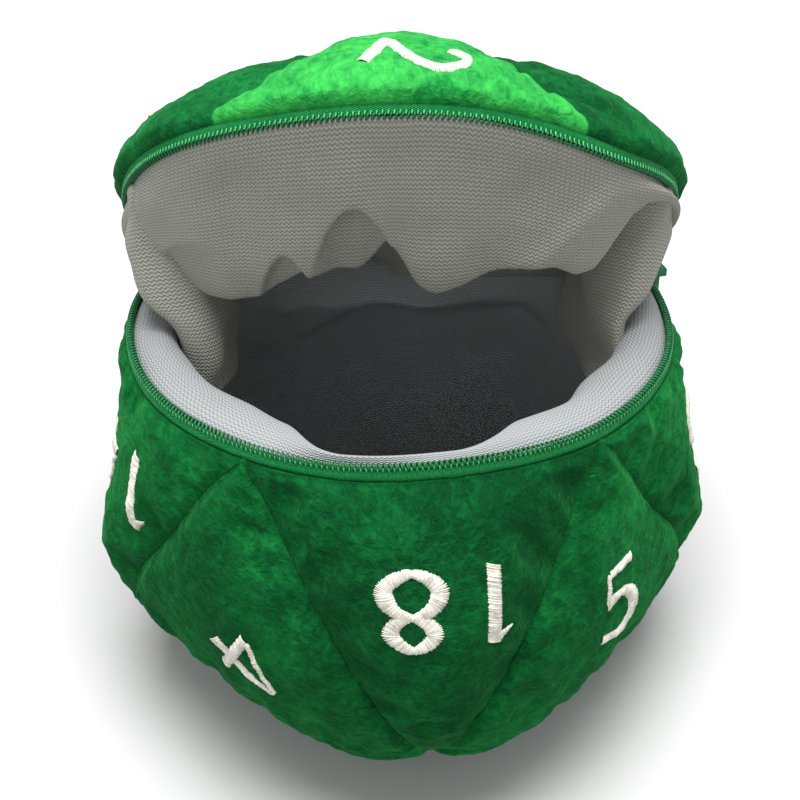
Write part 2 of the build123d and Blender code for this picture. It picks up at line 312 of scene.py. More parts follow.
def ring_faces(rings, around, closed=True):
    """Quads between rings of points that follow one another."""
    faces = []
    for k in range(rings - 1):
        for i in range(around if closed else around - 1):
            j = (i + 1) % around
            faces.append((k * around + i, k * around + j, (k + 1) * around + j, (k + 1) * around + i))
    return faces


def tube_faces(rings, around):
    """The sides of a tube and the caps at its two ends."""
    caps = [tuple(range(around - 1, -1, -1)), tuple((rings - 1) * around + i for i in range(around))]
    return ring_faces(rings, around) + caps


def tube(centres, radii, side, lift, sides=5):
    """Points and faces of a capped tube round a row of centres, given its two crosswise directions."""
    centres = np.asarray(centres)
    turns = 2 * math.pi * np.arange(sides) / sides
    side = np.broadcast_to(side, centres.shape)[:, None]
    lift = np.broadcast_to(lift, centres.shape)[:, None]
    radii = np.broadcast_to(radii, len(centres))[:, None, None]
    rings = centres[:, None] + (side * np.cos(turns)[:, None] + lift * np.sin(turns)[:, None]) * radii
    return rings.reshape(-1, 3), tube_faces(len(centres), sides)


def joined(pieces):
    """Many small meshes as the points and faces of one."""
    points, faces = [], []
    for piece_points, piece_faces in pieces:
        faces += [tuple(i + len(points) for i in face) for face in piece_faces]
        points += list(piece_points)
    return points, faces


def curve_point(p0, p1, p2, p3, share):
    """Point of a smooth curve, at a share of the way from p1 to p2."""
    return 0.5 * (2 * p1 + (p2 - p0) * share + (2 * p0 - 5 * p1 + 4 * p2 - p3) * share ** 2
                  + (3 * p1 - p0 - 3 * p2 + p3) * share ** 3)


# ---------------------------------------------------------------- cloth for the panels


def puffed_offsets(numbers):
    """Cloth run over a shell of panels, pinned at its seams: how far each point moves."""
    weights = grid_weights(SIM_STEPS)
    faces = grid_faces(SIM_STEPS)
    points, lookup, triangles, owners = [], {}, [], {}
    pinned = set()
    for number in numbers:
        at, _ = panel_points(number, weights)
        ids = []
        for point, weight in zip(at, weights):
            key = tuple(np.round(point / (0.05 * MM)).astype(int))
            if key not in lookup:
                lookup[key] = len(points)
                points.append(point)
            ids.append(lookup[key])
            if weight.min() < 1e-6:
                pinned.add(lookup[key])
        owners[number] = np.array(ids)
        triangles += [tuple(ids[i] for i in face) for face in faces]
    mesh = bpy.data.meshes.new("cloth_shell")
    mesh.from_pydata([tuple(p) for p in points], [], triangles)
    mesh.validate()
    obj = bpy.data.objects.new("cloth_shell", mesh)
    bpy.context.scene.collection.objects.link(obj)
    outward_faces(obj)
    pins = obj.vertex_groups.new(name="pins")
    pins.add(sorted(pinned), 1.0, "REPLACE")
    cloth = obj.modifiers.new("cloth", "CLOTH")
    settings = {"quality": 6, "mass": 0.25, "use_pressure": True, "uniform_pressure_force": 3.0,
                "vertex_group_mass": "pins", "shrink_min": -0.05, "tension_stiffness": 12,
                "compression_stiffness": 12, "bending_stiffness": 0.6}
    for key, value in settings.items():
        setattr(cloth.settings, key, value)
    cloth.settings.effector_weights.gravity = 0
    cloth.collision_settings.use_collision = False
    cloth.point_cache.frame_start = 1
    cloth.point_cache.frame_end = CLOTH_FRAMES
    scene = bpy.context.scene
    for step in range(1, CLOTH_FRAMES + 1):
        scene.frame_set(step)
    evaluated = obj.evaluated_get(bpy.context.evaluated_depsgraph_get())
    moved = np.array([v.co for v in evaluated.data.vertices])
    scene.frame_set(1)
    bpy.data.objects.remove(obj)
    bpy.data.meshes.remove(mesh)
    offset = moved - np.array(points)
    size = np.linalg.norm(offset, axis=1)
    offset *= np.where(size > PUFF_LIMIT, PUFF_LIMIT / np.maximum(size, 1e-9), 1.0)[:, None]
    return {number: offset[ids] for number, ids in owners.items()}


def finer(values, steps):
    """Values on the simulation's grid, carried to a grid with more steps."""
    starts = np.cumsum([0] + [SIM_STEPS - row + 1 for row in range(SIM_STEPS + 1)])
    weights = grid_weights(steps)
    row = weights[:, 2] * SIM_STEPS
    column = weights[:, 1] * SIM_STEPS
    low_row = np.minimum(row.astype(int), SIM_STEPS - 1)
    low_column = np.minimum(column.astype(int), SIM_STEPS - 1 - low_row)
    up, over = row - low_row, column - low_column
    near = starts[low_row] + low_column
    above = starts[low_row + 1] + low_column
    first = (values[near] * (1 - up - over)[:, None] + values[near + 1] * over[:, None]
             + values[above] * up[:, None])
    corner = np.minimum(above + 1, len(values) - 1)
    second = (values[near + 1] * (1 - up)[:, None] + values[above] * (1 - over)[:, None]
              + values[corner] * (up + over - 1)[:, None])
    return np.where((up + over <= 1)[:, None], first, second)


def smoothed(values, faces, rounds):
    """Values averaged over neighbouring points of a mesh."""
    edges = np.array([(f[i], f[(i + 1) % 3]) for f in faces for i in range(3)])
    edges = np.concatenate([edges, edges[:, ::-1]])
    count = np.bincount(edges[:, 0], minlength=len(values))[:, None]
    for _ in range(rounds):
        total = np.zeros_like(values)
        np.add.at(total, edges[:, 0], values[edges[:, 1]])
        values = values * 0.4 + 0.6 * total / np.maximum(count, 1)
    return values


# ---------------------------------------------------------------- materials


class Nodes:
    """Short way to make a material's nodes."""

    def __init__(self, name):
        self.material = bpy.data.materials.new(name)
        self.material.use_nodes = True
        self.tree = self.material.node_tree
        self.shader = self.tree.nodes["Principled BSDF"]
        coordinates = self.tree.nodes.new("ShaderNodeTexCoord")
        self.place = coordinates.outputs["Object"]

    def link(self, output, node, socket):
        self.tree.links.new(output, node.inputs[socket])

    def scaled(self, size, turn=(0, 0, 0)):
        node = self.tree.nodes.new("ShaderNodeMapping")
        node.inputs["Scale"].default_value = size
        node.inputs["Rotation"].default_value = turn
        self.link(self.place, node, "Vector")
        return node.outputs["Vector"]

    def noise(self, scale, detail=2.0, roughness=0.5, vector=None, distortion=0.0):
        node = self.tree.nodes.new("ShaderNodeTexNoise")
        node.inputs["Scale"].default_value = scale
        node.inputs["Detail"].default_value = detail
        node.inputs["Roughness"].default_value = roughness
        node.inputs["Distortion"].default_value = distortion
        self.link(vector or self.place, node, "Vector")
        return node.outputs["Fac"]

    def math(self, operation, first, second=0.5):
        node = self.tree.nodes.new("ShaderNodeMath")
        node.operation = operation
        for socket, value in ((0, first), (1, second)):
            if isinstance(value, (int, float)):
                node.inputs[socket].default_value = value
            else:
                self.link(value, node, socket)
        return node.outputs[0]

    def ramp(self, factor, stops):
        node = self.tree.nodes.new("ShaderNodeValToRGB")
        elements = node.color_ramp.elements
        while len(elements) < len(stops):
            elements.new(0.5)
        for element, (place, colour) in zip(elements, stops):
            element.position = place
            element.color = (*colour, 1)
        self.link(factor, node, "Fac")
        return node.outputs["Color"]

    def mix(self, factor, first, second):
        node = self.tree.nodes.new("ShaderNodeMix")
        node.data_type = "RGBA"
        for socket, value in ((0, factor), (6, first), (7, second)):
            if isinstance(value, (int, float)):
                node.inputs[socket].default_value = value
            elif isinstance(value, tuple):
                node.inputs[socket].default_value = (*value, 1)
            else:
                self.link(value, node, socket)
        return node.outputs[2]

    def bump(self, height, distance, strength=1.0, before=None):
        node = self.tree.nodes.new("ShaderNodeBump")
        node.inputs["Distance"].default_value = distance
        node.inputs["Strength"].default_value = strength
        self.link(height, node, "Height")
        if before:
            self.link(before, node, "Normal")
        return node.outputs["Normal"]

    def attribute(self, name):
        node = self.tree.nodes.new("ShaderNodeAttribute")
        node.attribute_name = name
        return node.outputs["Fac"]

    def set(self, **values):
        names = {"roughness": "Roughness", "sheen": "Sheen Weight", "sheen_roughness": "Sheen Roughness",
                 "sheen_tint": "Sheen Tint", "specular": "Specular IOR Level", "metallic": "Metallic"}
        for key, value in values.items():
            socket = self.shader.inputs[names[key]]
            socket.default_value = (*value, 1) if isinstance(value, tuple) else value

    def colour(self, output):
        self.link(output, self.shader, "Base Color")

    def normal(self, output):
        self.link(output, self.shader, "Normal")

    def rough(self, output):
        self.link(output, self.shader, "Roughness")


def plush_material():
    """Short brushed pile: streaks along the pile's lie, clumps, and a soft bright sheen; each panel's colour
    is also shifted lighter or darker by painted light and shade.
    """
    m = Nodes("plush")
    streaks = m.noise(520, 3, 0.6, m.scaled((1, 0.45, 1.5), (0.2, 0.5, 0.9)), 0.6)
    clumps = m.noise(150, 3, 0.55, distortion=0.8)
    patches = m.noise(38, 3, 0.55, distortion=0.4)
    fibres = m.noise(1900, 2, 0.6, m.scaled((1, 0.35, 1), (0.2, 0.5, 0.9)))
    blend = m.math("ADD", m.math("MULTIPLY", streaks, 0.42), m.math("MULTIPLY", clumps, 0.3))
    blend = m.math("ADD", blend, m.math("MULTIPLY", patches, 0.28))
    # Painted light and shade: each panel's painted lightness, with a little random tone, shifts the colour
    # along the ramp.
    blend = m.math("ADD", blend, m.attribute("pile_tone_and_painted_light"))
    base = m.ramp(blend, [(0.36, (0.0003, 0.022, 0.007)), (0.50, (0.0015, 0.070, 0.016)),
                          (0.64, (0.006, 0.150, 0.028)), (0.86, (0.040, 0.400, 0.065))])
    m.colour(m.mix(m.math("MULTIPLY", fibres, 0.30), base, (0.010, 0.15, 0.032)))
    first = m.bump(clumps, 1.1 * MM, 0.8)
    second = m.bump(streaks, 0.7 * MM, 0.9, first)
    m.normal(m.bump(fibres, 0.25 * MM, 0.9, second))
    m.set(roughness=0.95, sheen=0.16, sheen_roughness=0.4, sheen_tint=(0.12, 1.0, 0.25), specular=0.04)
    return m.material


def thread_material():
    """Lustrous embroidery thread with slight differences from strand to strand."""
    m = Nodes("embroidery_thread")
    shade = m.noise(420, 2, 0.5)
    strand = m.noise(2600, 1, 0.5)
    blend = m.math("ADD", m.math("MULTIPLY", shade, 0.6), m.math("MULTIPLY", strand, 0.4))
    m.colour(m.ramp(blend, [(0.35, (0.42, 0.40, 0.33)), (0.5, (0.60, 0.58, 0.50)),
                            (0.65, (0.74, 0.72, 0.66))]))
    m.normal(m.bump(strand, 0.08 * MM, 0.5))
    m.set(roughness=0.42, sheen=0.2, specular=0.5)
    return m.material


def liner_material(name, tint):
    """Warp-knitted mesh: rows of small zigzags with dark holes between them, and painted shade that darkens
    its first rows by the zipper.
    """
    m = Nodes(name)
    rows = m.attribute("knit_row")
    along = m.attribute("knit_along")
    zig = m.math("PINGPONG", along, 0.5)
    wave = m.math("ADD", rows, m.math("MULTIPLY", zig, 1.1))
    stripe = m.math("PINGPONG", wave, 0.5)
    stripe = m.math("MULTIPLY", stripe, 2.0)
    shade = m.noise(60, 2, 0.5)
    light = tuple(min(1, c * 1.08) for c in tint)
    dark = tuple(c * 0.42 for c in tint)
    knit = m.ramp(stripe, [(0.18, dark), (0.42, tint), (0.9, light)])
    cloth = m.mix(m.math("MULTIPLY", shade, 0.35), knit, tuple(c * 0.8 for c in tint))
    # Painted shade: the rows nearest the zipper are mixed towards the dark colour, standing in for the shade
    # that the zipper casts there.
    painted_shade_fade = m.math("MINIMUM", m.math("MULTIPLY", rows, 1 / 28), 1.0)
    painted_shade_fade = m.math("ADD", m.math("MULTIPLY", painted_shade_fade, 0.4), 0.6)
    m.colour(m.mix(painted_shade_fade, dark, cloth))
    m.normal(m.bump(stripe, 0.28 * MM, 0.8))
    m.set(roughness=0.8, sheen=0.15, sheen_roughness=0.5, specular=0.25)
    return m.material


def tape_material():
    """Knitted zipper tape with slanting ribs."""
    m = Nodes("zipper_tape")
    along = m.attribute("tape_along")
    across = m.attribute("tape_across")
    slanted = m.math("ADD", along, m.math("MULTIPLY", across, 2.2))
    rib = m.math("PINGPONG", slanted, 0.5)
    fine = m.noise(1500, 2, 0.6)
    blend = m.math("ADD", m.math("MULTIPLY", rib, 1.2), m.math("MULTIPLY", fine, 0.4))
    m.colour(m.ramp(blend, [(0.2, (0.0, 0.06, 0.015)), (0.5, (0.002, 0.16, 0.038)),
                            (0.8, (0.010, 0.35, 0.08))]))
    m.normal(m.bump(blend, 0.22 * MM, 0.9))
    m.set(roughness=0.75, sheen=0.08, sheen_tint=(0.2, 1.0, 0.4), specular=0.2)
    return m.material


def nylon_material(name, grain, colours, depth, strength, roughness, specular):
    """Nylon with a fine grain between two colours, as in the coil and its stitching."""
    m = Nodes(name)
    fine = m.noise(grain, 2, 0.5)
    m.colour(m.ramp(fine, [(0.3, colours[0]), (0.7, colours[1])]))
    m.normal(m.bump(fine, depth, strength))
    m.set(roughness=roughness, specular=specular)
    return m.material


def slider_material():
    """Enamelled metal, worn through at places."""
    m = Nodes("slider_enamel")
    wear = m.noise(240, 4, 0.6)
    m.colour(m.ramp(wear, [(0.35, (0.003, 0.10, 0.035)), (0.66, (0.006, 0.15, 0.05)),
                           (0.78, (0.30, 0.33, 0.30))]))
    m.rough(m.math("MULTIPLY", m.math("ADD", wear, 0.2), 0.5))
    m.normal(m.bump(wear, 0.04 * MM, 0.4))
    m.set(metallic=0.3, specular=0.5)
    return m.material


PLUSH = plush_material()
THREAD = thread_material()
LINER = liner_material("lining", (0.36, 0.38, 0.385))
# A warmer, slightly darker grey copy of the lining, for the lid's lining and the side linings.
LID_LINER = liner_material("lining_warm_grey", (0.33, 0.335, 0.285))
TAPE = tape_material()
COIL = nylon_material("zipper_coil", 900, ((0.0, 0.075, 0.02), (0.002, 0.14, 0.036)),
                      depth=0.05 * MM, strength=0.4, roughness=0.42, specular=0.35)
STITCH = nylon_material("zipper_stitching", 1800, ((0.008, 0.20, 0.055), (0.05, 0.42, 0.13)),
                        depth=0.06 * MM, strength=0.5, roughness=0.5, specular=0.4)
ENAMEL = slider_material()

# ---------------------------------------------------------------- the plush panels


# Painted light and shade: how much lighter or darker each panel is painted, standing in for how the light
# falls on it, with the lid's front panel painted brightest.
PAINTED_PANEL_LIGHT = {2: 0.27, 20: -0.01, 12: -0.06, 18: -0.10, 4: -0.04, 5: -0.01, 15: 0.05, 16: 0.02, 17: -0.02,
            3: 0.03, 7: -0.02, 13: 0.02, 19: 0.01}


def pile_height(points, number):
    """Height of the pile's clumps over the cloth."""
    out = np.empty(len(points))
    for i, point in enumerate(points):
        at = Vector(point)
        broad = noise.noise(at * 110 + Vector((number, 0, 0)))
        clump = noise.noise(at * 330)
        tuft = noise.noise(at * 900)
        out[i] = 0.55 * broad + 0.35 * clump + 0.16 * tuft
    return out * MM


def panel_name(number):
    return f"lid_panel_{number:02d}" if number in LID_PANELS else f"panel_{number:02d}"


def corner_softness(points):
    """How far the body's lower corners draw in, where the filling can't reach."""
    nearest = np.min([np.linalg.norm(points - corner, axis=1) for corner in lower_ring()], axis=0)
    return CORNER_SOFTNESS * np.exp(-(nearest / (11 * MM)) ** 2)


def flank_hollow(points):
    """How far the body's sides draw in under the zipper, where the filling is thin."""
    below = (rim_centre(BODY_RIM) - points) @ BODY_NORMAL
    wide = smoothstep(45 * MM, 76 * MM, np.abs(points[:, 0]))
    return FLANK_HOLLOW * wide * smoothstep(0, 12 * MM, below) * (1 - smoothstep(26 * MM, 48 * MM, below))


def plush_panel(number, offsets):
    """A closed, filled panel: a puffed face that rolls in at its seams, with a back."""
    rim, _, edge, _ = LAYOUT[number]
    steps = PANEL_STEPS
    weights = grid_weights(steps)
    faces = grid_faces(steps)
    points, outward = panel_points(number, weights)
    points = points + smoothed(finer(offsets, steps), faces, 3)
    slack = PANEL_SLACK[rim[4]] * (27 * weights.prod(axis=1)) ** 0.5
    points = points - outward * (slack + corner_softness(points))[:, None]
    if rim[4] == "body":
        points[:, 0] -= np.sign(points[:, 0]) * flank_hollow(points)
    seam = weights.min(axis=1) * PANEL_ALTITUDE
    if edge:
        seam = np.minimum(weights[:, 0], weights[:, 1]) * PANEL_ALTITUDE
        rim_gap = weights[:, 2] * PANEL_ALTITUDE
        retreat = (1 - smoothstep(0, 14 * MM, rim_gap)) * RIM_RETREAT
        points += np.outer(retreat * rim[3], rim[1])
        fold = np.exp(-(rim_gap / (1.8 * MM)) ** 2)
        points -= outward * (fold * RIM_FOLD)[:, None]
    groove = np.exp(-(seam / (1.4 * MM)) ** 2) * 1.3 + np.exp(-(seam / (5 * MM)) ** 2) * 0.4
    corner_gap = (1 - weights.max(axis=1)) * PANEL_ALTITUDE
    groove = groove * (1 - 0.7 * np.exp(-(corner_gap / (9 * MM)) ** 2))
    if edge:
        groove = groove * smoothstep(0, 10 * MM, rim_gap)
    height = pile_height(points, number) * np.clip(seam / (2 * MM), 0.25, 1) - groove * MM
    points = points + outward * height[:, None]
    points[:, 2] = np.maximum(points[:, 2], 0.0)
    points = settle(points, rim)
    points, faces = with_back(points, outward, faces, steps)
    obj = new_object(f"plush_{number:02d}", points, faces, PLUSH, rim[4])
    outward_faces(obj)
    lie = soft_noise(points, 24, 0.07, 3.0 * number) + soft_noise(points, 75, 0.06, 1.0 + number)
    # Painted light and shade for the whole panel, plus random tone from how the pile lies.
    add_attribute(obj, "pile_tone_and_painted_light", PAINTED_PANEL_LIGHT.get(number, 0.0) + lie)
    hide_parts(panel_name(number))
    return obj


def border_loop(steps):
    """Places of a triangular grid's border points, in order round it."""
    starts = np.cumsum([0] + [steps - row + 1 for row in range(steps)])
    loop = list(range(0, steps + 1))
    loop += [int(starts[row] + steps - row) for row in range(1, steps + 1)]
    loop += [int(starts[row]) for row in range(steps - 1, 0, -1)]
    return loop


def with_back(points, outward, faces, steps):
    """Closes a panel: a coarser inner face, and a strip that joins the two borders."""
    coarse = steps // BACK_SHARE
    starts = np.cumsum([0] + [steps - row + 1 for row in range(steps + 1)])
    chosen = []
    for row in range(coarse + 1):
        first = starts[row * BACK_SHARE]
        chosen += [first + BACK_SHARE * column for column in range(coarse - row + 1)]
    inner = points[chosen] - outward[chosen] * PLUSH_THICKNESS
    count = len(points)
    faces = faces + [tuple(count + i for i in reversed(face)) for face in grid_faces(coarse)]
    fine, rough = border_loop(steps), border_loop(coarse)
    for j, corner in enumerate(rough):
        here, follow = count + corner, count + rough[(j + 1) % len(rough)]
        for k in range(BACK_SHARE):
            a = fine[j * BACK_SHARE + k]
            b = fine[(j * BACK_SHARE + k + 1) % len(fine)]
            faces.append((a, b, here))
        faces.append((b, follow, here))
    return np.concatenate([points, inner]), faces


# ---------------------------------------------------------------- the embroidered numbers

DIGIT_HEIGHT = 20.8 * MM
DIGIT_STRETCH = 1.2
THREAD_SPACING = 0.32 * MM
THREAD_RADIUS = 0.23 * MM
THREAD_SEGMENTS = 5
# Strokes of each digit as (points, widths) in shares of its height, x to the right, y up.
DIGITS = {
    "0": [
        ([(0.3, 1), (0.08, 0.8), (0.06, 0.5), (0.08, 0.2), (0.3, 0), (0.52, 0.2), (0.54, 0.5),
         (0.52, 0.8), (0.3, 1)], (0.09, 0.22)),
    ],
    "1": [
        ([(0.27, 0.02), (0.26, 0.5), (0.26, 0.97)], (0.19, 0.19)),
        ([(0.22, 0.94), (0.08, 0.82)], (0.14, 0.03)),
    ],
    "2": [
        ([(0.08, 0.78), (0.14, 0.93), (0.3, 0.98), (0.48, 0.86), (0.5, 0.68), (0.36, 0.42), (0.12, 0.16),
         (0.06, 0.09)], (0.1, 0.16)),
        ([(0.04, 0.08), (0.3, 0.09), (0.58, 0.07)], (0.16, 0.16)),
    ],
    "3": [
        ([(0.06, 0.84), (0.22, 0.97), (0.44, 0.9), (0.46, 0.7), (0.24, 0.55)], (0.1, 0.19)),
        ([(0.24, 0.55), (0.5, 0.46), (0.52, 0.22), (0.34, 0.04), (0.05, 0.1)], (0.11, 0.21)),
    ],
    "4": [
        ([(0.4, 0), (0.4, 0.5), (0.4, 0.98)], (0.2, 0.07)),
        ([(0.38, 0.97), (0.2, 0.62), (0.05, 0.34)], (0.05, 0.09)),
        ([(0.03, 0.3), (0.3, 0.3), (0.58, 0.3)], (0.17, 0.17)),
    ],
    "5": [
        ([(0.52, 0.95), (0.3, 0.94), (0.15, 0.94)], (0.13, 0.1)),
        ([(0.14, 0.95), (0.12, 0.75), (0.11, 0.58)], (0.08, 0.08)),
        ([(0.09, 0.54), (0.34, 0.6), (0.53, 0.42), (0.5, 0.16), (0.3, 0.02), (0.04, 0.06)], (0.12, 0.24)),
    ],
    "6": [
        ([(0.46, 0.97), (0.22, 0.76), (0.08, 0.46), (0.1, 0.18), (0.3, 0.03), (0.5, 0.16), (0.52, 0.38),
         (0.34, 0.54), (0.12, 0.42)], (0.09, 0.21)),
    ],
    "7": [
        ([(0.05, 0.93), (0.3, 0.93), (0.55, 0.93)], (0.15, 0.15)),
        ([(0.53, 0.9), (0.36, 0.5), (0.22, 0)], (0.11, 0.21)),
    ],
    "8": [
        ([(0.31, 0.55), (0.15, 0.64), (0.11, 0.8), (0.3, 0.95), (0.5, 0.8), (0.47, 0.64),
         (0.31, 0.55)], (0.1, 0.23)),
        ([(0.31, 0.55), (0.1, 0.42), (0.06, 0.2), (0.3, 0.04), (0.55, 0.2), (0.52, 0.42),
         (0.31, 0.55)], (0.1, 0.25)),
    ],
    "9": [
        ([(0.14, 0.03), (0.38, 0.24), (0.52, 0.54), (0.5, 0.82), (0.3, 0.97), (0.1, 0.84), (0.08, 0.62),
         (0.26, 0.46), (0.48, 0.58)], (0.09, 0.21)),
    ],
}
DIGIT_ADVANCE = 0.74
# Corner of the panel that each number's top points to; the third corner unless named here.
NUMBER_TOP = {4: 1, 2: 1, 9: 0, 13: 1, 20: 0, 12: 0}
# Where a number sits off its panel's middle, as (right, up) in millimetres, and its size.
NUMBER_SHIFT = {18: (-3.5, 2.4), 4: (-0.7, 7.0), 5: (-0.4, 4.6), 14: (-4.0, 2.5), 2: (8.0, 6.5),
                15: (-16.0, 4.0), 20: (2.0, 8.0), 12: (-4.0, -8.0)}
NUMBER_SIZE = {2: 1.15}


def curve_through(points, spacing):
    """A smooth line through some points, in steps of one spacing, with its share along it."""
    points = np.array(points, float)
    padded = np.concatenate([[2 * points[0] - points[1]], points, [2 * points[-1] - points[-2]]])
    if np.allclose(points[0], points[-1]):
        padded[0], padded[-1] = points[-2], points[1]
    dense = []
    for p0, p1, p2, p3 in zip(padded, padded[1:], padded[2:], padded[3:]):
        for share in np.linspace(0, 1, 24, endpoint=False):
            dense.append(curve_point(p0, p1, p2, p3, share))
    dense.append(points[-1])
    dense = np.array(dense)
    length = np.concatenate([[0], np.cumsum(np.linalg.norm(np.diff(dense, axis=0), axis=1))])
    at = np.linspace(0, length[-1], max(3, int(length[-1] / spacing)))
    line = np.stack([np.interp(at, length, dense[:, k]) for k in range(2)], 1)
    return line, at / length[-1]


def number_threads(number, rng):
    """Every thread of a panel's number, as its two ends in the panel's plane."""
    threads = []
    text = str(number)
    height = DIGIT_HEIGHT * NUMBER_SIZE.get(number, 1.0)
    moved = np.array(NUMBER_SHIFT.get(number, (0.0, 3.0))) * MM
    width = DIGIT_ADVANCE * (len(text) - 1) + 0.6
    for place, digit in enumerate(text):
        shift = place * DIGIT_ADVANCE - width / 2
        for points, (thin, thick) in DIGITS[digit]:
            line = [((x + shift) * height * DIGIT_STRETCH, (y - 0.5) * height) for x, y in points]
            at, share = curve_through(line, THREAD_SPACING)
            tangent = np.gradient(at, axis=0)
            tangent /= np.maximum(np.linalg.norm(tangent, axis=1), 1e-9)[:, None]
            across = np.stack([-tangent[:, 1], tangent[:, 0]], 1)
            lean = np.abs(across[:, 0]) if len(points) > 3 else share
            half = (thin + (thick - thin) * lean) * height / 2
            steep = 0.35 if len(points) < 4 else 0.12
            for i in range(len(at)):
                reach = half[i] + rng.uniform(-0.10, 0.10, 2) * MM
                slant = tangent[i] * (steep * half[i] + rng.uniform(-0.06, 0.06) * MM)
                start = at[i] - across[i] * reach[0] - slant
                end = at[i] + across[i] * reach[1] + slant
                threads.append((start + moved, end + moved))
    return threads


def thread_mesh(start, end, surface, origin, right, up, normal, rise):
    """One satin thread: a slim arch over the pile."""
    centres, radii = [], []
    for k in range(THREAD_SEGMENTS + 1):
        share = k / THREAD_SEGMENTS
        flat = start + (end - start) * share
        above = origin + right * flat[0] + up * flat[1] + normal * 30 * MM
        hit, facing, _, _ = surface.ray_cast(Vector(above), Vector(-normal), 60 * MM)
        if hit is None:
            return None
        lift = (math.sin(math.pi * share) ** 0.5) * 0.75 * MM - 0.30 * MM + rise
        centres.append(np.array(hit) + normal * lift)
        radii.append(THREAD_RADIUS * (0.5 if k in (0, THREAD_SEGMENTS) else 1.0))
    along = centres[-1] - centres[0]
    along /= max(np.linalg.norm(along), 1e-9)
    side = np.cross(normal, along)
    side /= max(np.linalg.norm(side), 1e-9)
    return tube(centres, radii, side, normal)


def embroider(number, panel, rng):
    """A panel's number, sewn over its pile thread by thread."""
    rim, corners, _, _ = LAYOUT[number]
    middle, outward = panel_points(number, np.array([[1 / 3, 1 / 3, 1 / 3]]))
    origin = middle[0]
    normal = np.cross(corners[1] - corners[0], corners[2] - corners[0])
    normal /= np.linalg.norm(normal)
    if normal @ outward[0] < 0:
        normal = -normal
    top = corners[NUMBER_TOP.get(number, 2)]
    up = top - origin
    up -= normal * (up @ normal)
    up /= np.linalg.norm(up)
    right = np.cross(up, normal)
    surface = BVHTree.FromObject(panel, bpy.context.evaluated_depsgraph_get())
    threads = [thread_mesh(start, end, surface, origin, right, up, normal, rng.uniform(-0.10, 0.10) * MM)
               for start, end in number_threads(number, rng)]
    points, faces = joined(thread for thread in threads if thread)
    new_object(f"number_{number:02d}", points, faces, THREAD, rim[4])


# ---------------------------------------------------------------- the zipper


def swept_band(name, rim, profile, angles, material):
    """A band round the mouth whose section is a loop of (radius, height) points."""
    side = rim[3]
    rings = []
    for angle in angles:
        rings.append([mouth_point(rim, angle, radius, side * height) for radius, height in profile])
    points = settle(np.array(rings).reshape(-1, 3), rim)
    count = len(profile)
    obj = new_object(name, points, tube_faces(len(angles), count), material, rim[4])
    outward_faces(obj)
    add_attribute(obj, "tape_along", np.repeat(np.array(angles) * ZIPPER_RADIUS / RIB_PITCH, count))
    add_attribute(obj, "tape_across", np.tile([h / RIB_PITCH for _, h in profile], len(angles)))
    return obj


def zipper_tape(rim):
    """Knitted tape, from under the plush edge up to the foot of the coil."""
    outer = [(72.0, 6.0), (72.4, 5.0), (72.6, 4.2), (72.4, 3.4), (72.0, 2.5), (71.6, 1.9)]
    inner = [(71.2, 2.2), (71.4, 3.2), (71.5, 4.4), (71.2, 6.0)]
    profile = [(r * MM, h * MM) for r, h in outer + inner]
    count = 420
    angles = np.radians(np.linspace(-ZIPPER_END - 3, ZIPPER_END + 3, count))
    obj = swept_band(f"tape_{rim[4]}", rim, profile, angles, TAPE)
    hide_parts(f"zipper_tape_{rim[4]}")


def zipper_coil(rim):
    """Flattened nylon helix: one turn to each tooth."""
    turns = int(math.radians(2 * ZIPPER_END) * ZIPPER_RADIUS / TOOTH_PITCH)
    steps = 10
    wire = 0.36 * MM
    half_width, half_depth = 0.62 * MM, 0.72 * MM
    centres = []
    total = turns * steps
    for k in range(total + 1):
        angle = math.radians(-ZIPPER_END) + math.radians(2 * ZIPPER_END) * k / total
        turn = 2 * math.pi * k / steps
        radius = ZIPPER_RADIUS + half_depth * math.cos(turn)
        height = rim[3] * (COIL_OFFSET + half_width * math.sin(turn))
        centres.append(mouth_point(rim, angle, radius, height))
    centres = settle(np.array(centres), rim)
    tangents = np.gradient(centres, axis=0)
    tangents /= np.linalg.norm(tangents, axis=1)[:, None]
    first = np.cross(tangents, rim[1])
    first /= np.linalg.norm(first, axis=1)[:, None]
    second = np.cross(tangents, first)
    points, faces = tube(centres, wire, first, second)
    obj = new_object(f"coil_{rim[4]}", points, faces, COIL, rim[4])
    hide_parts(f"zipper_coil_{rim[4]}")


def capsule(start, end, radius, normal):
    """Short stitch of thread as points and faces."""
    along = end - start
    along = along / max(np.linalg.norm(along), 1e-9)
    side = np.cross(normal, along)
    side /= max(np.linalg.norm(side), 1e-9)
    lift = np.cross(along, side)
    shares = np.array([0, 0.18, 0.5, 0.82, 1])
    thinness = np.array([0.35, 0.9, 1.0, 0.9, 0.35])
    return tube(start + np.outer(shares, end - start), radius * thinness, side, lift)


def zipper_stitches(rim):
    """The stitches that bind the coil to its tape, one at each tooth."""
    count = int(math.radians(2 * ZIPPER_END) * ZIPPER_RADIUS / TOOTH_PITCH)
    stitches = []
    for k in range(count):
        angle = math.radians(-ZIPPER_END) + math.radians(2 * ZIPPER_END) * (k + 0.5) / count
        low = mouth_point(rim, angle, ZIPPER_RADIUS + 0.95 * MM, rim[3] * 1.5 * MM)
        high = mouth_point(rim, angle + 0.002, ZIPPER_RADIUS + 0.85 * MM, rim[3] * 2.75 * MM)
        ends = settle(np.array([low, high]), rim)
        outward = ends[0] - rim_centre(rim, 0)
        stitches.append(capsule(ends[0], ends[1], 0.24 * MM, outward / np.linalg.norm(outward)))
    points, faces = joined(stitches)
    new_object(f"coil_stitches_{rim[4]}", points, faces, STITCH, rim[4])


# ---------------------------------------------------------------- the lining


KNIT_WIDTH = 1.25 * MM
KNIT_HEIGHT = 0.85 * MM


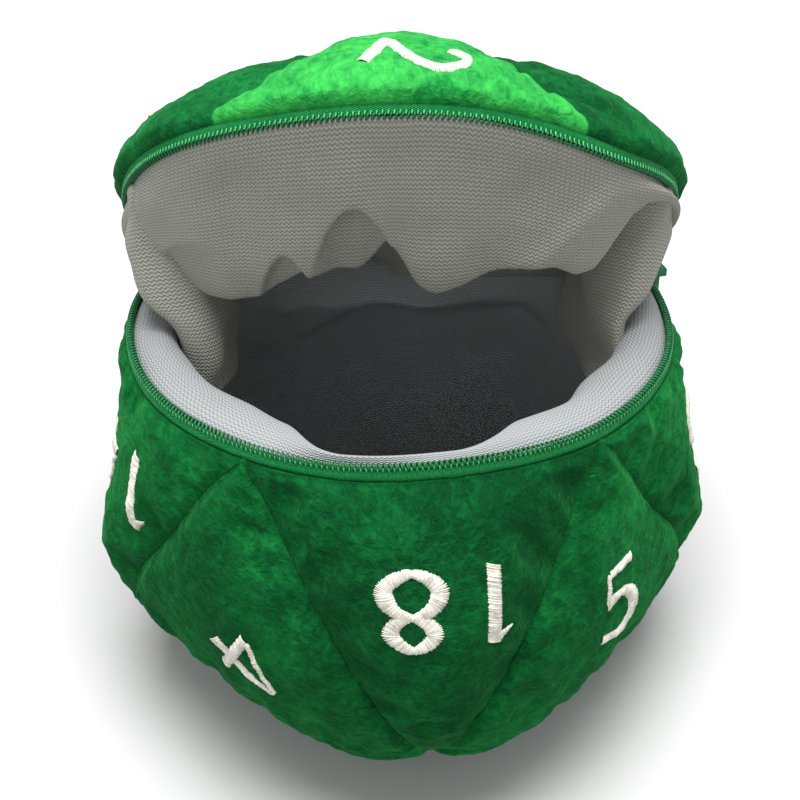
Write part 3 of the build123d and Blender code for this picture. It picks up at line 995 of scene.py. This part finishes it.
def sheet_object(name, rows, material, body, closed_ring):
    """A cloth made of rows of points, each row running round, with knit coordinates."""
    rows = np.array(rows)
    count, around = rows.shape[:2]
    faces = ring_faces(count, around, closed_ring)
    obj = new_object(name, rows.reshape(-1, 3), faces, material, body)
    down = np.concatenate([[0], np.cumsum(np.linalg.norm(np.diff(rows, axis=0), axis=2).mean(axis=1))])
    run = np.concatenate([[0], np.cumsum(np.linalg.norm(np.diff(rows, axis=1), axis=2).mean(axis=0))])
    if closed_ring:
        run = np.append(run, run[-1] + np.linalg.norm(rows[:, 0] - rows[:, -1], axis=1).mean())
        run = run * round(run[-1] / KNIT_WIDTH) / (run[-1] / KNIT_WIDTH)
    run = run / KNIT_WIDTH
    by_corner = []
    for i in range(len(run) - 1):
        by_corner += [run[i], run[i + 1], run[i + 1], run[i]]
    by_corner = np.tile(by_corner, count - 1)
    knit = obj.data.attributes.new("knit_along", "FLOAT", "CORNER")
    knit.data.foreach_set("value", np.asarray(by_corner, np.float32))
    add_attribute(obj, "knit_row", np.repeat(down / KNIT_HEIGHT, around))
    return obj


def thicken(obj, thickness):
    """Gives a sheet its cloth's thickness."""
    modifier = obj.modifiers.new("thickness", "SOLIDIFY")
    modifier.thickness = thickness
    modifier.offset = 0
    bpy.context.view_layer.objects.active = obj
    obj.select_set(True)
    bpy.ops.object.modifier_apply(modifier=modifier.name)
    obj.select_set(False)


def through(controls, count):
    """Evenly spaced points on a smooth curve through rows of control points, shape (n, ..., 3)."""
    controls = np.asarray(controls, float)
    first = 2 * controls[0] - controls[1]
    last = 2 * controls[-1] - controls[-2]
    padded = np.concatenate([[first], controls, [last]])
    dense = []
    for p0, p1, p2, p3 in zip(padded, padded[1:], padded[2:], padded[3:]):
        for share in np.linspace(0, 1, 16, endpoint=False):
            dense.append(curve_point(p0, p1, p2, p3, share))
    dense = np.array(dense + [controls[-1]])
    flat = dense.reshape(len(dense), -1, 3)
    step = np.linalg.norm(np.diff(flat, axis=0), axis=2)
    length = np.concatenate([np.zeros((1, step.shape[1])), np.cumsum(step, axis=0)])
    out = np.empty((count, flat.shape[1], 3))
    for i in range(flat.shape[1]):
        at = np.linspace(0, length[-1, i], count)
        for k in range(3):
            out[:, i, k] = np.interp(at, length[:, i], flat[:, i, k])
    return out.reshape((count,) + dense.shape[1:])


# The soft roll of lining inside the body's zipper, as (radius, height) from the coil inwards.
ROLL = ((71.2, -4.5), (70.2, -2.8), (69.2, -1.0), (67.4, 0.3), (64.8, 0.8), (61.6, 0.1), (59.2, -2.2),
        (58.4, -6.0), (59.2, -11.0))


def body_lining():
    """The pouch inside the body: a soft roll along the zipper, then down the walls."""
    around = 400
    distance = np.linspace(-HALF_OUTLINE, HALF_OUTLINE, around, endpoint=False)
    edge = rim_points(BODY_RIM, distance, 0)
    inward = rim_centre(BODY_RIM, 0) - edge
    inward /= np.linalg.norm(inward, axis=1)[:, None]
    degrees = np.degrees(np.abs(distance) / MOUTH_RADIUS)
    width = 0.07 + 0.93 * smoothstep(11, 29, degrees) * (1 - 0.55 * smoothstep(88, 112, degrees))
    width = width * (1 + 0.10 * np.sin(distance / (7 * MM)) * np.sin(distance / (19 * MM) + 1))
    rows = []
    for radius, height in ROLL:
        inset = (73.5 - radius - 2.3) * width + 2.3
        rows.append(edge + inward * inset[:, None] * MM + BODY_NORMAL * height * MM)
    rows = list(through(rows, 44))
    node = frame["nodes"]["body_liner"]
    wall = BVHTree.FromObject(node, bpy.context.evaluated_depsgraph_get())
    heart = np.array([0, 4, 55]) * MM
    lip = rows[-1]
    out = lip - heart
    lift = np.arctan2(out[:, 2], np.hypot(out[:, 0], out[:, 1]))
    heading = np.arctan2(out[:, 0], -out[:, 1])
    deep = 30
    for step in range(1, deep + 1):
        share = step / deep
        row = []
        for up, turn, start in zip(lift, heading, lip):
            angle = up + (-math.pi / 2 - up) * share
            level = math.cos(angle)
            ray = Vector((math.sin(turn) * level, -math.cos(turn) * level, math.sin(angle)))
            hit = wall.ray_cast(Vector(heart), ray, 0.2)[0]
            near = np.linalg.norm(start - heart)
            far = (hit - Vector(heart)).length - 1.2 * MM if hit else near
            far = near + (far - near) * smoothstep(0, 0.25, share)
            row.append(heart + np.array(ray) * far)
        rows.append(np.array(row))
    rows = np.array(rows)
    flat = rows.reshape(-1, 3)
    push = soft_noise(flat, 26, 6.0 * MM, 3.0) + soft_noise(flat, 75, 1.6 * MM, 8.0)
    push = (push - 2.0 * MM).reshape(rows.shape[:2])
    push *= smoothstep(3, 16, np.arange(len(rows)))[:, None]
    to_heart = rows - heart
    to_heart /= np.linalg.norm(to_heart, axis=2)[..., None]
    rows = rows + to_heart * np.minimum(push, 0.5 * MM)[..., None]
    rows = settle(rows.reshape(-1, 3), BODY_RIM).reshape(rows.shape)
    obj = sheet_object("lining_body", rows, LINER, "body", True)
    thicken(obj, 0.5 * MM)
    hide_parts("body_liner", "body_padding")


# How far the lid's fallen lining hangs, at angles in degrees round the lid.
LINING_DROP = ((-119, 5), (-100, 9), (-84, 14), (-75, 19), (-66, 26), (-58, 33), (-50, 43), (-44, 48.5),
               (-36, 51), (-27, 52), (-22, 48.5), (-18.5, 45.5), (-14, 48), (-8, 49.5), (-5, 45), (-2, 36.5),
               (0, 40), (3.5, 50), (7, 53), (12.5, 50), (19, 44), (26, 39.5), (32, 37.5), (38, 38), (43, 34),
               (48, 24), (53, 14), (59, 8), (70, 5), (119, 4))


def lid_lining():
    """The lid's loose lining, fallen out of it: it hangs from the zipper and folds back inside."""
    around = 520
    deep = 110
    degrees = np.linspace(-117, 117, around)
    angles = np.radians(degrees)
    drop = np.interp(degrees, *zip(*LINING_DROP))
    kernel = np.exp(-(np.linspace(-2, 2, around // 90 * 2 + 1)) ** 2)
    padded = np.pad(drop, len(kernel) // 2, mode="edge")
    drop = np.convolve(padded, kernel / kernel.sum(), mode="valid") * MM
    top = mouth_point(LID_RIM, angles, 70.6 * MM, 1.9 * MM)
    top = settle(top, LID_RIM)
    down = np.array([0, 0, -1.0])
    ahead = np.array([0, -1.0, 0])
    side = np.sign(angles) * smoothstep(30, 80, np.abs(degrees))
    belly = ahead + np.outer(side, RIGHT)
    falling = np.outer(drop, down)
    sharp = np.minimum(3.2 * MM, drop * 0.25)
    hinge_x = top @ RIGHT * 0.86
    hinge_side = HINGE + np.outer(hinge_x, RIGHT) + np.array([0, -7.0, -3.5]) * MM
    bottom = top + falling + belly * 0.5 * MM
    back = bottom - np.outer(sharp * 1.5, ahead) - np.outer(sharp * 0.15, down)
    lift = np.outer(smoothstep(0, 30 * MM, drop), [0, 0, 7.0 * MM])
    inside = back * 0.55 + hinge_side * 0.45 + lift
    controls = [top, top - LID_NORMAL * 1.6 * MM, top + falling * 0.35 + belly * 2.2 * MM,
                top + falling * 0.75 + belly * 2.0 * MM, bottom, back, inside, hinge_side]
    rows = through(controls, deep + 1)
    fallen = (top[None] - rows) @ np.array([0, 0, 1.0]) / MM
    shown = np.arange(deep + 1)[:, None] <= np.argmax(fallen, axis=0)[None] + 2
    hollow = lining_hollows(np.broadcast_to(degrees, fallen.shape), fallen) * np.where(shown, 1, 0.6)
    flat = rows.reshape(-1, 3)
    push = soft_noise(flat, 42, 0.9 * MM, 5.0) + soft_noise(flat, 110, 0.25 * MM, 2.0)
    push = push.reshape(rows.shape[:2]) * smoothstep(0, 12, fallen)
    push *= 1 - smoothstep(0.85, 1.0, np.linspace(0, 1, deep + 1))[:, None]
    rows = rows + np.multiply.outer(hollow * MM + push, -ahead)
    obj = sheet_object("lining_lid", rows, LID_LINER, "lid", False)
    thicken(obj, 0.5 * MM)
    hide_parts("lid_liner", "lid_padding")


def lining_hollows(degrees, fallen):
    """Depth in millimetres of the folds pressed into the lid's fallen lining."""
    depth = np.zeros(fallen.shape)
    for middle, crown, curve, spread, most in ((-9.0, 24.5, 0.25, 7.0, 6.0), (-23.5, 37.5, 0.35, 5.5, 4.0),
                                               (-52.0, 27.0, 0.03, 12.0, 2.0)):
        inside = fallen - crown - curve * (degrees - middle) ** 2
        depth += most * smoothstep(-0.8, 3.5, inside) * np.exp(-((degrees - middle) / spread) ** 4)
    for angle, lean, width, most in ((38.0, 0.55, 3.2, -1.6), (24.0, 0.30, 5.0, 1.2),
                                     (-34.0, -0.10, 6.0, 1.3), (60.0, 0.9, 4.0, -1.6)):
        across = degrees - angle + lean * (fallen - 20)
        depth += most * np.exp(-(across / width) ** 2) * smoothstep(2, 16, fallen)
    return depth


# Places that the side lining passes, as (x, forward) in millimetres for a right-hand side:
# on the lid's mating plane, and on the body's.
GUSSET_TOP = ((47, 22), (51, 56), (66.0, 60), (70.0, 43), (69.2, 22.8), (62.6, 3.0))
GUSSET_LOW = {-1: ((45, 14), (48, 47), (57.0, 50), (60.4, 37), (61.0, 20), (59.0, 4.0)),
              1: ((46, 14), (53.5, 45), (58.0, 47), (61.0, 34), (62.5, 19), (60.0, 4.0))}
GUSSET_BULGE = {-1: 6.5, 1: 4.2}


def side_gusset(side):
    """Lining between the two rims at one side of the mouth: it folds at the front and tucks inside."""
    along = 200
    down = 90

    def plane_points(places, rim, height, share=1.0):
        return np.array([HINGE + RIGHT * x * share * side * MM + rim[0] * ahead * MM + rim[1] * height * MM
                         for x, ahead in places])

    low = GUSSET_LOW[side]
    top = through(plane_points(GUSSET_TOP, LID_RIM, 1.2), along)
    high = through(plane_points(GUSSET_TOP, LID_RIM, -2.0), along)
    mouth = through(plane_points(low, BODY_RIM, 1.0), along)
    inside = through(plane_points(low, BODY_RIM, -18.0, 0.98), along)
    share_along = np.linspace(0, 1, along)
    bulge = np.outer(smoothstep(0.33, 0.55, share_along) * (1 - smoothstep(0.85, 1.0, share_along)), RIGHT)
    bulge = bulge * side * GUSSET_BULGE[side] * MM
    upper = top * 0.62 + mouth * 0.38 + bulge
    lower = top * 0.25 + mouth * 0.75 + bulge * 0.9
    rows = through([top, high, upper, lower, mouth, inside], down)
    flat = rows.reshape(-1, 3)
    fold = soft_noise(flat * np.array([0.5, 1, 1.5]), 46, 2.8 * MM, 4.0 + side)
    fold += soft_noise(flat, 110, 0.5 * MM)
    fold = fold.reshape(rows.shape[:2])
    fold *= smoothstep(0, 0.15, np.linspace(0, 1, down))[:, None] * smoothstep(0.9, 0.5, share_along) ** 0.5
    rows = rows + fold[..., None] * RIGHT * side
    name = "right" if side > 0 else "left"
    obj = sheet_object(f"lining_{name}", rows, LID_LINER, None, False)
    thicken(obj, 0.5 * MM)
    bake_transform(obj)


def hinge_roll():
    """Plush-covered bound seam along the hinge line, behind the mouth."""
    half = 63.5 * MM
    x = np.linspace(-half, half, 121)
    radii = 4.1 * MM * (1 - 0.5 * np.maximum(0, np.abs(x) / half - 0.92) / 0.08)
    radii = radii + 0.25 * MM * np.sin(x / (2.1 * MM))
    points, faces = tube(HINGE + np.outer(x, RIGHT), radii, (0, 1, 0), (0, 0, 1), 14)
    obj = new_object("hinge_roll", points, faces, PLUSH, "body")
    outward_faces(obj)
    add_attribute(obj, "pile_tone_and_painted_light", soft_noise(points, 60, 0.08) - 0.05)
    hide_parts("hinge_strip")


# ---------------------------------------------------------------- camera, floor and light

CAMERA_ELEVATION = 46.0
CAMERA_DISTANCE = 447.0 * MM
CAMERA_TARGET = (0.0, 0.0, 76.0 * MM)


def camera():
    """Looks down at the bag from the front."""
    data = bpy.data.cameras.new("camera")
    data.lens = 75.4
    data.sensor_width = 36
    obj = bpy.data.objects.new("camera", data)
    elevation = math.radians(CAMERA_ELEVATION)
    back = Vector((0, -math.cos(elevation), math.sin(elevation)))
    obj.location = Vector(CAMERA_TARGET) + back * CAMERA_DISTANCE
    obj.rotation_euler = (math.radians(90 - CAMERA_ELEVATION), 0, 0)
    bpy.context.scene.collection.objects.link(obj)
    bpy.context.scene.camera = obj


def floor():
    """A plain pale floor."""
    m = Nodes("floor")
    m.colour(m.ramp(m.noise(3, 2, 0.5), [(0.3, (0.50, 0.50, 0.50)), (0.7, (0.51, 0.51, 0.51))]))
    m.set(roughness=0.9, specular=0.1)
    half = 9.0
    points = [(-half, -half, 0), (half, -half, 0), (half, half, 0), (-half, half, 0)]
    obj = new_object("floor", points, [(0, 1, 2, 3)], m.material, None)
    obj.location.z = -0.1 * MM


def area_light(name, place, target, size, power):
    data = bpy.data.lights.new(name, "AREA")
    data.size = size
    data.energy = power
    obj = bpy.data.objects.new(name, data)
    obj.location = place
    obj.rotation_euler = (Vector(target) - Vector(place)).to_track_quat("-Z", "Y").to_euler()
    bpy.context.scene.collection.objects.link(obj)


def lights():
    """A large soft light from above, a weak one from the front, and a pale sky."""
    area_light("top", (0.0, 0.12, 1.25), (0, 0, 0.1), 0.8, 31)
    area_light("front", (-0.5, -1.0, 0.75), (0, 0, 0.08), 0.8, 1.5)
    world = bpy.data.worlds.new("world")
    bpy.context.scene.world = world
    world.use_nodes = True
    world.node_tree.nodes["Background"].inputs["Color"].default_value = (1, 1, 1, 1)
    world.node_tree.nodes["Background"].inputs["Strength"].default_value = 0.6
    bpy.context.scene.view_settings.view_transform = "Standard"


# ---------------------------------------------------------------- build


def build():
    camera()
    floor()
    lights()
    body_panels = [number for number in LAYOUT if number not in LID_PANELS]
    offsets = {**puffed_offsets(body_panels), **puffed_offsets(LID_PANELS)}
    rng = np.random.default_rng(20)
    for number in LAYOUT:
        panel = plush_panel(number, offsets[number])
        embroider(number, panel, rng)
    for rim in (BODY_RIM, LID_RIM):
        zipper_tape(rim)
        zipper_coil(rim)
        zipper_stitches(rim)
    body_lining()
    lid_lining()
    side_gusset(1)
    side_gusset(-1)
    hinge_roll()
    for name in ("zipper_slider", "zipper_pull", "zipper_bottom_stop",
                 "zipper_top_stop_body", "zipper_top_stop_lid"):
        node = frame["nodes"][name]
        for material_slot in node.material_slots:
            material_slot.material = ENAMEL


build()
